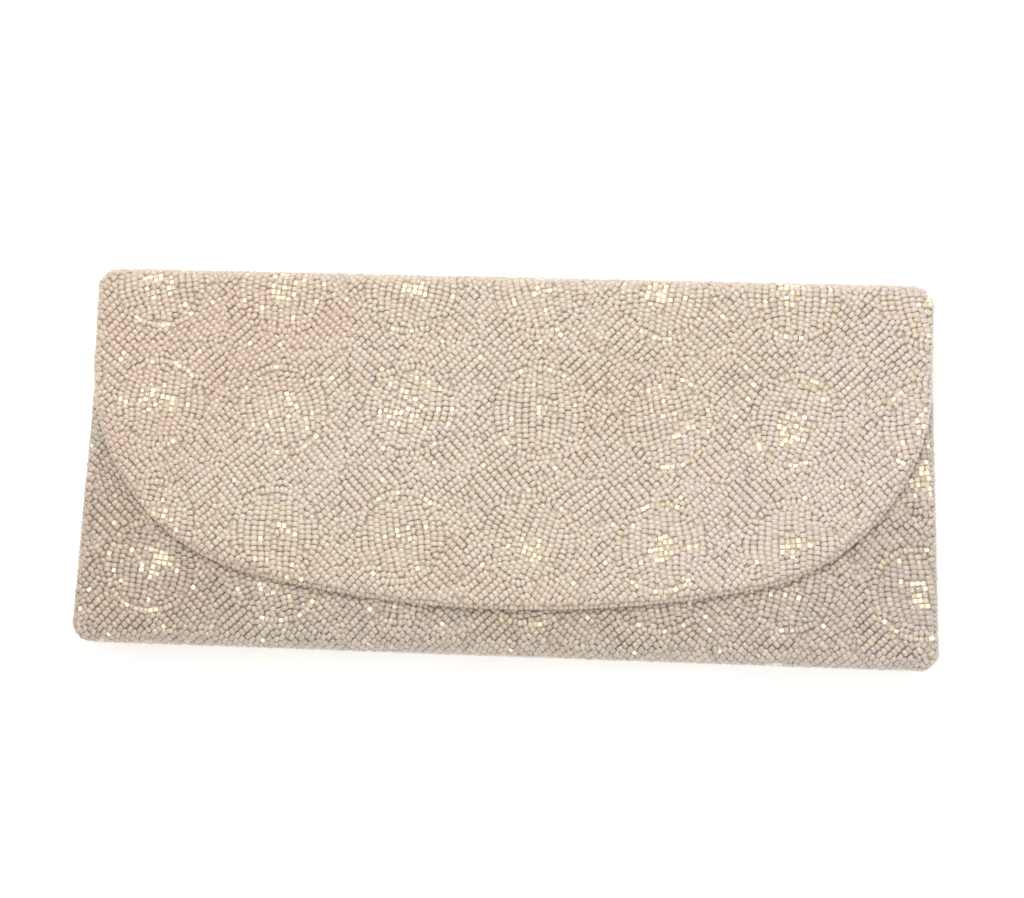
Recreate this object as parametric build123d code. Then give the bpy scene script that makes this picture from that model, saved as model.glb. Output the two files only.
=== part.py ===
from build123d import *
from math import sqrt
import os

# A beaded evening clutch, lying on its back: X across, +Y towards the top fold, +Z out of the front.
# The origin is on the table under the middle of the purse. All lengths are in millimetres.

# ---- driving dimensions ----
HEIGHT = 111.0              # from the bottom fold to the top fold
BACK_TOP = 122.2            # half width of the back panel at the top fold
BACK_BOTTOM = 126.2         # and at the bottom fold: the purse is a little wider there
FRONT_NARROWER = 0.5        # how far the front panel stands inside the back panel on each side
FLAP_HALF = 122.1           # half width of the flap and of the top fold
FLAP_TIP = -42.0            # y of the lowest point of the flap's curved edge
FLAP_ARC = 340.0            # radius of the long shallow arc across the flap
FLAP_CORNER = 62.0          # radius of the flap's two corners
MOUTH = 46.0                # y of the front panel's upper edge, under the flap
POUCH = 7.6                 # clear depth between the two linings when the pouch is empty
FLAP_GAP = 0.5              # air between the front panel and the flap's lining
SNAP_Y = -30.0              # the press snap sits under the flap's tip

# ---- layers of a panel, from the outside in ----
BEADS = 2.2                 # sewn beads on their cloth
INTERLINING = 0.5
BOARD = 1.0
LINING = 0.3
INNER = INTERLINING + BOARD + LINING
FILM = 0.05                 # the gap left between separate layers that turn on one another
TURN = 1.5                  # beaded cloth turned over the panel's edges, outside the lining
BOARD_INSET = 2.5           # the board stops this far inside the beadwork
EDGE_BEADS = 2.2            # the strip of edging beads round the flap
FOLD_RELIEF = 0.1           # clearance where a lining meets a fold

# ---- the stack, worked out upwards from the table ----
FOLD_Y = HEIGHT / 2 - BEADS                         # both folds' cloth lies at this y, up and down
BACK_CLOTH = BEADS                                  # z of the back's cloth, inside its beads
BACK_IN = BACK_CLOTH + INNER                        # inner face of the back lining
FRONT_IN = BACK_IN + POUCH                          # inner face of the front lining
FRONT_CLOTH = FRONT_IN + INNER
FRONT_OUT = FRONT_CLOTH + BEADS
FLAP_IN = FRONT_OUT + FLAP_GAP
FLAP_CLOTH = FLAP_IN + INNER
FLAP_OUT = FLAP_CLOTH + BEADS

# ---- gussets, slip pocket and binding ----
GUSSET_CLOTH = 0.8
GUSSET_LOW = 3.0            # how far the gusset tucks in at the bottom
GUSSET_HIGH = 15.0          # and at the mouth, where it has to let the pouch open
GUSSET_INSET = 1.2
POCKET_HALF = 48.0
POCKET_LOW = -38.0
POCKET_HIGH = 24.0
POCKET_CLOTH = 0.5
BINDING = 1.4               # width of the satin binding along an open edge

# ---- press snap ----
SNAP_RADIUS = 5.5
SNAP_RECESS = 6.5           # bare patch in the front beadwork that holds the socket
RECESS_FLOOR = 0.3
SOCKET_DISC = 1.0
SOCKET_BORE = 2.2
STUD_DISC = 0.6
STUD_NECK = 1.0
STUD_HEAD = 1.35
HEAD_LENGTH = 0.8
SPRING_WIRE = 0.15
SPRING_SPREAD = 1.6
SPRING_HALF = 3.0
SEW_HOLE = 0.5
SEW_CIRCLE = 3.9
SEW_HOLES = 4
THREAD = 0.15


def back_half(y):
    """Half width of the back panel at height y."""
    share = (y + FOLD_Y) / (2 * FOLD_Y)
    return BACK_BOTTOM + (BACK_TOP - BACK_BOTTOM) * share


def front_half(y):
    """Half width of the front panel at height y."""
    return back_half(y) - FRONT_NARROWER


def slab(half, low, high, z_low, z_high, inset=0.0):
    """A flat layer whose half width at height y is half(y) less inset, from low to high."""
    wide = half(low) - inset
    narrow = half(high) - inset
    outline = Polygon((-wide, low), (wide, low), (narrow, high), (-narrow, high), align=None)
    return Pos(0, 0, z_low) * extrude(outline, z_high - z_low)


def bar(half_x, y_low, y_high, z_low, z_high):
    """A plain bar across the purse."""
    block = Box(2 * half_x, y_high - y_low, z_high - z_low)
    return Pos(0, (y_low + y_high) / 2, (z_low + z_high) / 2) * block


def flap_outline(inset, top=FOLD_Y):
    """The flap's outline moved in by inset: straight sides, a corner arc each side, one long arc."""
    side = FLAP_HALF - inset
    corner = FLAP_CORNER - inset
    corner_x = side - corner
    corner_y = FLAP_TIP + FLAP_ARC - sqrt((FLAP_ARC - FLAP_CORNER) ** 2 - corner_x ** 2)
    middle = Vector(0, FLAP_TIP + FLAP_ARC)
    towards = (Vector(corner_x, corner_y) - middle).normalized()
    join = middle + towards * (FLAP_ARC - inset)
    turn = Vector(corner_x, corner_y) + (Vector(1, 0) + towards).normalized() * corner
    mirrored = Vector(-join.X, join.Y)
    mirrored_turn = Vector(-turn.X, turn.Y)
    edges = [
        Line((side, top), (side, corner_y)),
        ThreePointArc((side, corner_y), turn, join),
        ThreePointArc(join, (0, FLAP_TIP + inset), mirrored),
        ThreePointArc(mirrored, mirrored_turn, (-side, corner_y)),
        Line((-side, corner_y), (-side, top)),
        Line((-side, top), (side, top)),
    ]
    return make_face(edges)


def flap_layer(z_low, z_high, inset, top=FOLD_Y):
    return Pos(0, 0, z_low) * extrude(flap_outline(inset, top), z_high - z_low)


def layers_upwards(cloth, direction):
    """Heights of interlining, board and lining, going inwards from the cloth."""
    first = cloth + direction * INTERLINING
    second = first + direction * BOARD
    third = second + direction * LINING
    return [sorted((cloth, first)), sorted((first, second)), sorted((second, third))]


def make_back():
    soft, board, lining = layers_upwards(BACK_CLOTH, 1)
    return {
        "back_beadwork": slab(back_half, -FOLD_Y, FOLD_Y, 0, BACK_CLOTH),
        "back_interlining": slab(back_half, -FOLD_Y, FOLD_Y, *soft, TURN),
        "back_board": slab(back_half, -FOLD_Y + BOARD_INSET, FOLD_Y - BOARD_INSET, *board, BOARD_INSET),
        "back_lining": slab(back_half, -FOLD_Y, FOLD_Y, *lining, TURN),
    }


def make_bottom():
    """The beaded cloth and the lining that turn up from the back to the front at the bottom."""
    half = back_half(-FOLD_Y)
    outer = bar(half, -FOLD_Y - BEADS, -FOLD_Y, BACK_CLOTH, FRONT_CLOTH)
    inner_low = BACK_IN + FILM
    inner_high = FRONT_IN - FILM
    inner = bar(half - FRONT_NARROWER - TURN, -FOLD_Y, -FOLD_Y + LINING, inner_low, inner_high)
    return {"bottom_beadwork": outer, "bottom_lining": inner}


def make_front():
    """The front panel, with a round bare patch in its beads for the snap's socket."""
    soft, board, lining = layers_upwards(FRONT_CLOTH, -1)
    patch = Cylinder(SNAP_RECESS, BEADS, align=(Align.CENTER, Align.CENTER, Align.MIN))
    recess = Pos(0, SNAP_Y, FRONT_CLOTH + RECESS_FLOOR) * patch
    binding_half = front_half(MOUTH) - TURN
    binding = bar(binding_half, MOUTH + FILM, MOUTH + FILM + BINDING, FRONT_IN + FILM, FRONT_OUT - LINING)
    long_edges = binding.edges().filter_by(Axis.X).group_by(Axis.Y)[-1]
    return {
        "front_beadwork": slab(front_half, -FOLD_Y, MOUTH, FRONT_CLOTH, FRONT_OUT) - recess,
        "front_interlining": slab(front_half, -FOLD_Y, MOUTH, *soft, TURN),
        "front_board": slab(front_half, -FOLD_Y + BOARD_INSET, MOUTH - BOARD_INSET, *board, BOARD_INSET),
        "front_lining": slab(front_half, -FOLD_Y, MOUTH, *lining, TURN),
        "front_mouth_binding": fillet(long_edges, BINDING / 2),
    }


def make_spine():
    """The top fold: beaded cloth, interlining and lining between the back and the flap."""
    soft_low = BACK_IN + FOLD_RELIEF
    soft_high = FLAP_IN - FOLD_RELIEF
    lined = FOLD_Y - INTERLINING
    return {
        "spine_beadwork": bar(FLAP_HALF, FOLD_Y, FOLD_Y + BEADS, BACK_CLOTH, FLAP_CLOTH),
        "spine_interlining": bar(FLAP_HALF - TURN, lined, FOLD_Y, soft_low, soft_high),
        "spine_lining": bar(FLAP_HALF - TURN, lined - LINING, lined, soft_low, soft_high),
    }


def make_flap():
    """The flap: beadwork inside a strip of edging beads, on interlining, board and lining."""
    soft, board, lining = layers_upwards(FLAP_CLOTH, -1)
    whole = flap_layer(FLAP_CLOTH, FLAP_OUT, 0)
    field = flap_layer(FLAP_CLOTH, FLAP_OUT, EDGE_BEADS)
    return {
        "flap_beadwork": field,
        "flap_edge_beads": whole - field,
        "flap_interlining": flap_layer(*soft, LINING),
        "flap_board": flap_layer(*board, BOARD_INSET, FOLD_Y - BOARD_INSET),
        "flap_lining": flap_layer(*lining, TURN),
    }


def gusset_section(y, tuck):
    """The gusset's V at height y: two leaves of cloth from the panels' edges to an inner fold."""
    outer = front_half(y) - GUSSET_INSET
    low = BACK_IN + FILM
    high = FRONT_IN - FILM
    middle = (low + high) / 2
    notch = GUSSET_CLOTH * tuck / (middle - low)
    points = [
        (outer, y, low),
        (outer - tuck, y, middle),
        (outer, y, high),
        (outer, y, high - GUSSET_CLOTH),
        (outer - tuck + notch, y, middle),
        (outer, y, low + GUSSET_CLOTH),
    ]
    return make_face(Polyline(*points, close=True))


def make_gussets():
    bottom = gusset_section(-FOLD_Y + LINING + FILM, GUSSET_LOW)
    top = gusset_section(MOUTH - FILM, GUSSET_HIGH)
    right = loft([bottom, top], ruled=True)
    return {"right_gusset": right, "left_gusset": mirror(right, Plane.YZ)}


def make_pocket():
    """A flat slip pocket sewn to the back lining, with a bound upper edge."""
    low = BACK_IN + FILM
    high = low + POCKET_CLOTH
    panel = bar(POCKET_HALF, POCKET_LOW, POCKET_HIGH, low, high)
    bound = bar(POCKET_HALF, POCKET_HIGH, POCKET_HIGH + BINDING, low, high + LINING)
    return {"slip_pocket": panel, "slip_pocket_binding": bound}


def sewn_disc(thickness, turned):
    """A thin metal disc with holes for sewing it down, the first hole turned by so many degrees."""
    disc = Cylinder(SNAP_RADIUS, thickness, align=(Align.CENTER, Align.CENTER, Align.MIN))
    hole = Cylinder(SEW_HOLE, 4 * thickness)
    for number in range(SEW_HOLES):
        disc -= Rot(0, 0, turned + number * 360 / SEW_HOLES) * Pos(SEW_CIRCLE, 0, 0) * hole
    return disc


def stitches(low, crossing, turned):
    """Threads from each sewing hole over the disc's rim and back to the cloth."""
    rim = (SNAP_RADIUS + SNAP_RECESS) / 2
    route = Polyline((SEW_CIRCLE, 0, low), (SEW_CIRCLE, 0, crossing), (rim, 0, crossing), (rim, 0, low))
    path = Wire(route.edges())
    profile = Plane(path @ 0, z_dir=path % 0) * Circle(THREAD)
    thread = sweep(profile, path, transition=Transition.RIGHT)
    group = [Rot(0, 0, turned + number * 360 / SEW_HOLES) * thread for number in range(SEW_HOLES)]
    return Compound(group)


def at_snap(shape, z=0.0):
    return Pos(0, SNAP_Y, z) * shape


def make_snap():
    """The press snap: a socket sewn to the front, and a stud sewn inside the flap."""
    seat = FRONT_CLOTH + RECESS_FLOOR
    socket_low = seat + FILM
    socket_high = socket_low + SOCKET_DISC
    socket = sewn_disc(SOCKET_DISC, 0) - Cylinder(SOCKET_BORE, 4 * SOCKET_DISC)
    wire = Rot(90, 0, 0) * Cylinder(SPRING_WIRE, 2 * SPRING_HALF)
    wire_z = socket_high + FILM + SPRING_WIRE
    springs = [Pos(side * SPRING_SPREAD, 0, 0) * wire for side in (-1, 1)]
    stud_high = FLAP_IN - FILM
    stud_low = stud_high - STUD_DISC
    head_low = socket_low + FILM
    upright = (Align.CENTER, Align.CENTER, Align.MIN)
    neck = Pos(0, 0, head_low) * Cylinder(STUD_NECK, stud_low - head_low, align=upright)
    head = Pos(0, 0, head_low) * Cylinder(STUD_HEAD, HEAD_LENGTH, align=upright)
    rounded = fillet(head.edges().filter_by(GeomType.CIRCLE), HEAD_LENGTH / 3)
    stud = Pos(0, 0, stud_low) * sewn_disc(STUD_DISC, 180 / SEW_HOLES) + neck + rounded
    socket_stitch = stitches(seat + FILM, socket_high + FILM + THREAD, 0)
    stud_stitch = stitches(FLAP_IN - FILM, stud_low - FILM - THREAD, 180 / SEW_HOLES)
    return {
        "snap_socket": at_snap(socket, socket_low),
        "snap_socket_spring": at_snap(Compound(springs), wire_z),
        "snap_socket_thread": at_snap(socket_stitch),
        "snap_stud": at_snap(stud),
        "snap_stud_thread": at_snap(stud_stitch),
    }


def main():
    os.makedirs("parts", exist_ok=True)
    groups = [make_back(), make_bottom(), make_front(), make_spine(), make_flap()]
    groups += [make_gussets(), make_pocket(), make_snap()]
    for group in groups:
        for name, shape in group.items():
            export_step(shape, f"parts/{name}.step")


main()
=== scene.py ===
import math
import bmesh
import bpy
import numpy as np
from mathutils import Matrix, Vector, kdtree


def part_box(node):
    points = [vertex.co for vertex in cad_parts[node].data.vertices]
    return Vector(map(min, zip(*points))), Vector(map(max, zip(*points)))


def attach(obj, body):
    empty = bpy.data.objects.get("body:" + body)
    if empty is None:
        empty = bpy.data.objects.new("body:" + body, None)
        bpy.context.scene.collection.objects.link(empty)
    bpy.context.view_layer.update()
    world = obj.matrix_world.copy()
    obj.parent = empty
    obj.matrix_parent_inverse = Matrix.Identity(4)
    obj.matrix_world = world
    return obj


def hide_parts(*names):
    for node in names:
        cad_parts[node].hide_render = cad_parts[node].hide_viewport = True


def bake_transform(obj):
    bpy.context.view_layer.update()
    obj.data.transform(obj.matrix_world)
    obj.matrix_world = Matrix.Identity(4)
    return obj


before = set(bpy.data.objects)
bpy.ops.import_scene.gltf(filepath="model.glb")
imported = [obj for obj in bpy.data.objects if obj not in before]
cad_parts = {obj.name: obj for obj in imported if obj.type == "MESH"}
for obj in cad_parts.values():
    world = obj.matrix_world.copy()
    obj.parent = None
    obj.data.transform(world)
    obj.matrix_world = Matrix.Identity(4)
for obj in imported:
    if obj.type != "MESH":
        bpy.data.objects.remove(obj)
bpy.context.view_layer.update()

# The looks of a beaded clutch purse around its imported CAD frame.
# Layout is worked out in millimetres, in the frame's axes, and turned into metres when a mesh is made.
MM = 0.001
DRAW = np.random.default_rng(11)


# -------- sizes, from the frame
def box(node):
    """Lowest and highest corner of a CAD node, in millimetres."""
    low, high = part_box(node)
    return low / MM, high / MM


def half_width(node, at_top):
    """Half width of a tapered CAD panel at its top or bottom edge."""
    points = np.array([v.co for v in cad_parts[node].data.vertices]) / MM
    edge = points[:, 1].max() if at_top else points[:, 1].min()
    return points[abs(points[:, 1] - edge) < 0.01, 0].max()


FOLD_Y = box("spine_beadwork")[0].y  # the cloth's place at the top fold, and less it at the bottom
BACK_Z = box("back_beadwork")[1].z  # the ground cloth's height in each panel
FRONT_Z = box("front_beadwork")[0].z
FLAP_Z = box("flap_beadwork")[0].z
MOUTH_Y = box("front_beadwork")[1].y
TIP_Y = box("flap_edge_beads")[0].y
FLAP_HALF = box("flap_edge_beads")[1].x
BACK_WIDE = half_width("back_beadwork", False)
BACK_NARROW = half_width("back_beadwork", True)
FRONT_INSIDE = BACK_WIDE - half_width("front_beadwork", False)

# ---- the flap's outline: straight sides, a corner arc each side and one long arc
FLAP_ARC = 340.0
FLAP_CORNER = 62.0
CORNER_X = FLAP_HALF - FLAP_CORNER
CORNER_Y = TIP_Y + FLAP_ARC - math.sqrt((FLAP_ARC - FLAP_CORNER) ** 2 - CORNER_X ** 2)
ARC_Y = TIP_Y + FLAP_ARC

# ---- beads and cloth
BEAD_ACROSS = 2.05  # size 11/0 seed beads
BEAD_ALONG = 1.42
LIFT = BEAD_ACROSS / 2  # a bead's middle above the CAD cloth
SUNK = 0.2  # and above the real cloth, which swells between the beads
EDGE_ROLL = 1.5  # the cloth turns over each panel's edge on this radius
TOP_BEND = 4.0  # the cloth's radius at the two bends of the top fold
BOTTOM_BEND = 4.5  # and of the bottom fold
TOP_CORNER = 3.2  # how far each fold's ends are drawn in
BOTTOM_CORNER = 1.8
CLOTH = 0.25
FLAP_CROWN = 1.3  # how far the wadding swells a panel
FRONT_CROWN = 0.3
CROWN_WIDTH = 34.0


# -------- the beads' path round the purse
TOP_TURN = TOP_BEND + LIFT  # radius of the line of bead middles at the top bends
BOTTOM_TURN = BOTTOM_BEND + LIFT


def make_path():
    """The line of the beads' middles from the flap's tip, over the top, down the back, under the bottom
    and up the front. Each stretch is (kind, length, place, shape)."""
    turn = math.pi / 2
    top_inner = FOLD_Y - TOP_BEND
    low_inner = BOTTOM_BEND - FOLD_Y
    return [
        ("line", top_inner - TIP_Y, (TIP_Y, FLAP_Z + LIFT), (1, 0, 0, 1)),
        ("arc", turn * TOP_TURN, (top_inner, FLAP_Z - TOP_BEND), (TOP_TURN, turn)),
        ("line", FLAP_Z - BACK_Z - 2 * TOP_BEND, (FOLD_Y + LIFT, FLAP_Z - TOP_BEND), (0, -1, 1, 0)),
        ("arc", turn * TOP_TURN, (top_inner, BACK_Z + TOP_BEND), (TOP_TURN, 0)),
        ("line", top_inner - low_inner, (top_inner, BACK_Z - LIFT), (-1, 0, 0, -1)),
        ("arc", turn * BOTTOM_TURN, (low_inner, BACK_Z + BOTTOM_BEND), (BOTTOM_TURN, -turn)),
        ("line", FRONT_Z - BACK_Z - 2 * BOTTOM_BEND, (-FOLD_Y - LIFT, BACK_Z + BOTTOM_BEND), (0, 1, -1, 0)),
        ("arc", turn * BOTTOM_TURN, (low_inner, FRONT_Z - BOTTOM_BEND), (BOTTOM_TURN, -2 * turn)),
        ("line", MOUTH_Y - low_inner, (low_inner, FRONT_Z + LIFT), (1, 0, 0, 1)),
    ]


PATH = make_path()
STARTS = np.concatenate([[0], np.cumsum([stretch[1] for stretch in PATH])])
FLAP_END, SPINE_START, SPINE_END, BACK_START, BACK_END, WALL_START, WALL_END, FRONT_START, TOTAL = STARTS[1:]
WALL_MIDDLE = (WALL_START + WALL_END) / 2
SPINE_MIDDLE = (SPINE_START + SPINE_END) / 2


def on_path(s, lift=0.0):
    """Points (y, z), tangents and outward normals at lengths s along the path, lifted off it."""
    s = np.asarray(s, float)
    point = np.zeros((len(s), 2))
    along = np.zeros((len(s), 2))
    out = np.zeros((len(s), 2))
    which = np.clip(np.searchsorted(STARTS, s, "right") - 1, 0, len(PATH) - 1)
    for index, (kind, length, place, shape) in enumerate(PATH):
        inside = which == index
        run = s[inside] - STARTS[index]
        if kind == "line":
            along[inside] = shape[:2]
            out[inside] = shape[2:]
            point[inside] = np.array(place) + run[:, None] * np.array(shape[:2])
        else:
            radius, first = shape
            angle = first - run / radius
            out[inside] = np.stack([np.cos(angle), np.sin(angle)], 1)
            along[inside] = np.stack([np.sin(angle), -np.cos(angle)], 1)
            point[inside] = np.array(place) + radius * out[inside]
    return point + np.reshape(lift, (-1, 1)) * out, along, out


def half_at(s):
    """Half width of the beaded cloth, over its beads, at lengths s past the flap. The ends of both folds
    are drawn in, which rounds the purse's four corners."""
    s = np.asarray(s, float)
    y = on_path(s.ravel())[0][:, 0].reshape(s.shape)
    share = (y + FOLD_Y) / (2 * FOLD_Y)
    back = BACK_WIDE + (BACK_NARROW - BACK_WIDE) * share
    to_back = np.clip((s - SPINE_END) / (BACK_START - SPINE_END), 0, 1)
    to_front = np.clip((s - WALL_START) / (FRONT_START - WALL_START), 0, 1)
    half = FLAP_HALF + (back - FLAP_HALF) * to_back - FRONT_INSIDE * to_front
    up = np.clip((y - FOLD_Y + TOP_BEND) / TOP_TURN, 0, 1)
    down = np.clip((-y - FOLD_Y + BOTTOM_BEND) / BOTTOM_TURN, 0, 1)
    return half - TOP_CORNER * (1 - np.sqrt(1 - up ** 2)) - BOTTOM_CORNER * (1 - np.sqrt(1 - down ** 2))


def flap_inset(x, y):
    """How far inside the flap's curved outline a point lies."""
    side = FLAP_HALF - abs(x)
    corner = FLAP_CORNER - np.hypot(abs(x) - CORNER_X, y - CORNER_Y)
    arc = FLAP_ARC - np.hypot(x, y - ARC_Y)
    lean = CORNER_X * (y - CORNER_Y) - (abs(x) - CORNER_X) * (CORNER_Y - ARC_Y)
    found = np.where(lean > 0, corner, arc)
    return np.where(y > CORNER_Y, side, found)


def swell(distance):
    return 1 - (1 - np.clip(distance / CROWN_WIDTH, 0, 1)) ** 2


def crown(x, s):
    """How far the wadding lifts the cloth at a point of the path."""
    x = np.asarray(x, float)
    s = np.asarray(s, float)
    y = TIP_Y + s
    flap = FLAP_CROWN * swell(flap_inset(x, y)) * swell(FLAP_END - s)
    front = FRONT_CROWN * swell(half_at(s) - abs(x)) * swell(s - FRONT_START)
    return np.where(s < FLAP_END, flap, np.where(s > FRONT_START, front, 0.0))


# -------- bead rows
MEDALLION_ACROSS = 37.0  # the pattern's repeat
MEDALLION_DOWN = 36.0
MEDALLION_X = 9.0
MEDALLION_FLAP_Y = 14.0
MEDALLION_FRONT_Y = -33.6
MEDALLION_RADIUS = 12.6
ROW = BEAD_ACROSS
STEP = BEAD_ALONG * 1.01
EDGE_CENTRE = BEAD_ACROSS + EDGE_ROLL  # where the roll's middle lies inside the outline
EDGE_RADIUS = EDGE_ROLL + LIFT
LAST_ROW = 84  # the outermost row's angle round a rolled edge, in degrees
SNAP_BARE = 7.4  # no bead's middle lies nearer than this to the snap's
PEARL, STRAW, SATIN = 0, 1, 2  # round pearl, round straw-coloured glass, square-cut satin glass
SQUARE = 1.58  # pitch of the square-cut beads, both ways
PATTERN_X = (-145, 135)  # the medallions' columns reach this far
OVERLAP = 0.35  # how far the straight rows run on past their cell
HEART_GAP = 1.3  # least distance between the beads of a heart
ROW_GAP = 1.25  # and between those of the rows
HEART_CLEAR = 1.5  # how far a medallion's rows stay from the hearts' beads
ROUND_CLEAR = 1.45  # and the straight rows from both
FILLER_GAPS = (1.36, 1.32)  # how bare a spot is before a filler goes there, the first time and the second
FILLER_APART = 1.5
FILLER_GRID = 0.6  # spots are tried this far apart
FILLER_HALF = 128  # and this far to each side
EVEN_ROUNDS = 14  # how often crowded beads are moved apart
EVEN_PUSH = 0.3  # by this share of what is missing
EVEN_ROOM = 0.98  # of the room that each bead needs
EVEN_LEAST = 0.3  # beads closer than this are pushed as if this far apart


def rows_of(lines):
    """Joins lists of (x, s, angle, kind) beads into one array."""
    kept = [np.asarray(line, float).reshape(-1, 4) for line in lines if len(line)]
    return np.concatenate(kept) if kept else np.zeros((0, 4))


def turned_by(spin, cx, cy, u, v):
    """A point given in a medallion's own axes, on the cloth."""
    return cx + u * math.cos(spin) - v * math.sin(spin), cy + u * math.sin(spin) + v * math.cos(spin)


def medallion_heart(cx, cy, spin):
    """A loose patch of square-cut beads in the middle of a medallion."""
    wide, tall = DRAW.uniform(2.4, 6.4), DRAW.uniform(2.2, 5.6)
    off_x, off_y = DRAW.uniform(-2.5, 2.5, 2)
    share = DRAW.uniform(0.35, 0.8)
    beads = []
    for i in range(-3, 4):
        for j in range(-3, 4):
            inside = math.hypot(i * SQUARE / wide, j * SQUARE / tall) < 1
            if inside and DRAW.random() < share:
                x, y = turned_by(spin, cx, cy, off_x + i * SQUARE, off_y + j * SQUARE)
                beads.append((x, y, spin + math.pi / 2 * (j % 2), SATIN))
    return beads


def medallion_caps(cx, cy, spin):
    """An arc of beads over the top of a medallion and one under it, some straw-coloured and some bright."""
    beads = []
    for top in (0, 1):
        straw, satin = DRAW.uniform(0.05, 0.35), DRAW.choice((0.05, 0.15, 0.35))
        first, last = DRAW.uniform(0.5, 1.15, 2)
        for turned in np.arange(-first, last, STEP / MEDALLION_RADIUS):
            angle = math.pi * (top + 0.5) + turned + spin
            draw = DRAW.random()
            kind = SATIN if draw < satin else STRAW if draw < satin + straw else PEARL
            x, y = MEDALLION_RADIUS * math.cos(angle), MEDALLION_RADIUS * math.sin(angle)
            beads.append((cx + x, cy + y, angle + math.pi / 2, kind))
    return beads


def medallion_fill(cx, cy, spin):
    """Curved rows inside a medallion, like lines of longitude."""
    inner = MEDALLION_RADIUS - 0.4
    columns = round(inner / ROW)
    beads = []
    for column in range(-columns, columns + 1):
        bulge = column * inner / columns
        curl = 0.45 + 0.55 * abs(bulge) / inner
        for v in np.arange(-inner + DRAW.uniform(0, STEP), inner, STEP):
            narrow = math.sqrt(max(0.0, 1 - (curl * v / inner) ** 2))
            u = bulge * narrow
            end = inner - 0.8 * ROW if abs(column) < columns else inner + 0.01
            if math.hypot(u, v) > end or narrow < 0.35:
                continue
            lean = -bulge * curl ** 2 * v / (inner ** 2 * narrow)
            draw = DRAW.random()
            kind = SATIN if draw < 0.05 else STRAW if draw < 0.10 else PEARL
            x, y = turned_by(spin, cx, cy, u, v)
            beads.append((x, y, spin + math.pi / 2 - math.atan(lean), kind))
    return beads


def quadrant(cx, cy, side_x, side_y):
    """Straight rows that run out from a medallion's middle through one quarter of its cell."""
    reach_x, reach_y = MEDALLION_ACROSS / 2, MEDALLION_DOWN / 2
    angle = math.atan2(side_y * reach_y, side_x * reach_x)
    c, s = math.cos(angle), math.sin(angle)
    long_reach = math.hypot(reach_x, reach_y)
    rows = np.arange(-math.ceil(long_reach / ROW), math.ceil(long_reach / ROW) + 1)
    steps = np.arange(0, math.ceil(long_reach / STEP) + 1)
    across, along = np.meshgrid((rows + 0.5) * ROW, steps * STEP, indexing="ij")
    along = along + (rows[:, None] % 2) * STEP / 2
    u = (along * c - across * s) * side_x
    v = (along * s + across * c) * side_y
    fits = (u > -OVERLAP) & (u < reach_x + OVERLAP) & (v > -OVERLAP) & (v < reach_y + OVERLAP)
    fits &= np.hypot(u, v) > MEDALLION_RADIUS + 0.6 * ROW
    x, y = cx + u[fits] * side_x, cy + v[fits] * side_y
    draw = DRAW.random(len(x))
    kind = np.where(draw < 0.012, SATIN, np.where(draw < 0.03, STRAW, PEARL))
    return np.stack([x, y, np.full(len(x), angle), kind], 1)


def wander(beads):
    """Bends the pattern a little, as hand work is."""
    x, y = beads[:, 0].copy(), beads[:, 1].copy()
    beads[:, 0] += 0.8 * np.sin(y / 13.0 + 0.6) + 0.5 * np.sin(x / 19.0 + y / 31.0)
    beads[:, 1] += 0.8 * np.sin(x / 15.0 + 1.9) + 0.5 * np.sin(y / 17.0 - x / 43.0)
    return beads


def pattern(low, high, row_y):
    """The beads of a strip of cloth: the medallions' hearts, their other beads, and the rows between."""
    hearts, rounds, fields = [], [], []
    left, right = (x / MEDALLION_ACROSS for x in PATTERN_X)
    columns = range(math.floor(left), math.ceil(right) + 1)
    levels = range(math.floor((low - row_y) / MEDALLION_DOWN), math.ceil((high - row_y) / MEDALLION_DOWN) + 1)
    for column in columns:
        for level in levels:
            cx = MEDALLION_X + column * MEDALLION_ACROSS
            cy = row_y + level * MEDALLION_DOWN
            spin = 0.3 * math.sin(2.3 * column + 1.7 * level)
            hearts.append(medallion_heart(cx, cy, spin))
            rounds += [medallion_caps(cx, cy, spin), medallion_fill(cx, cy, spin)]
            fields += [quadrant(cx, cy, sx, sy) for sx in (-1, 1) for sy in (-1, 1)]
    return [wander(rows_of(lines)) for lines in (hearts, rounds, fields)]


def tree_of(beads):
    tree = kdtree.KDTree(len(beads))
    for number, bead in enumerate(beads):
        tree.insert((bead[0], bead[1], 0), number)
    tree.balance()
    return tree


def clear_of(beads, others, gap):
    """The beads that stand at least gap from all the others."""
    tree = tree_of(others)
    return beads[np.array([tree.find((bead[0], bead[1], 0))[2] >= gap for bead in beads])]


def evened(beads):
    """Moves crowded beads apart until each has its own room: less along its row than across it."""
    tree = tree_of(beads)
    near = [[other for _, other, _ in tree.find_range((bead[0], bead[1], 0), 1.2 * ROW)] for bead in beads]
    first = np.repeat(np.arange(len(beads)), [len(others) for others in near])
    second = np.concatenate(near).astype(int)
    once = first < second
    first, second = first[once], second[once]
    place = beads[:, :2].copy()
    along = np.stack([np.cos(beads[:, 2]), np.sin(beads[:, 2])], 1)
    across = np.stack([-along[:, 1], along[:, 0]], 1)
    square = beads[:, 3] == SATIN
    long, wide = np.where(square, SQUARE, STEP), np.where(square, SQUARE, ROW)
    for _ in range(EVEN_ROUNDS):
        gap = place[second] - place[first]
        apart = 0
        for bead in (first, second):
            lengthways = (gap * along[bead]).sum(1) / long[bead]
            sideways = (gap * across[bead]).sum(1) / wide[bead]
            apart = apart + np.hypot(lengthways, sideways) / 2
        move = gap * (EVEN_PUSH * np.maximum(EVEN_ROOM - apart, 0) / np.maximum(apart, EVEN_LEAST))[:, None]
        np.add.at(place, first, -move)
        np.add.at(place, second, move)
    return np.column_stack([place, beads[:, 2:]])


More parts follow.
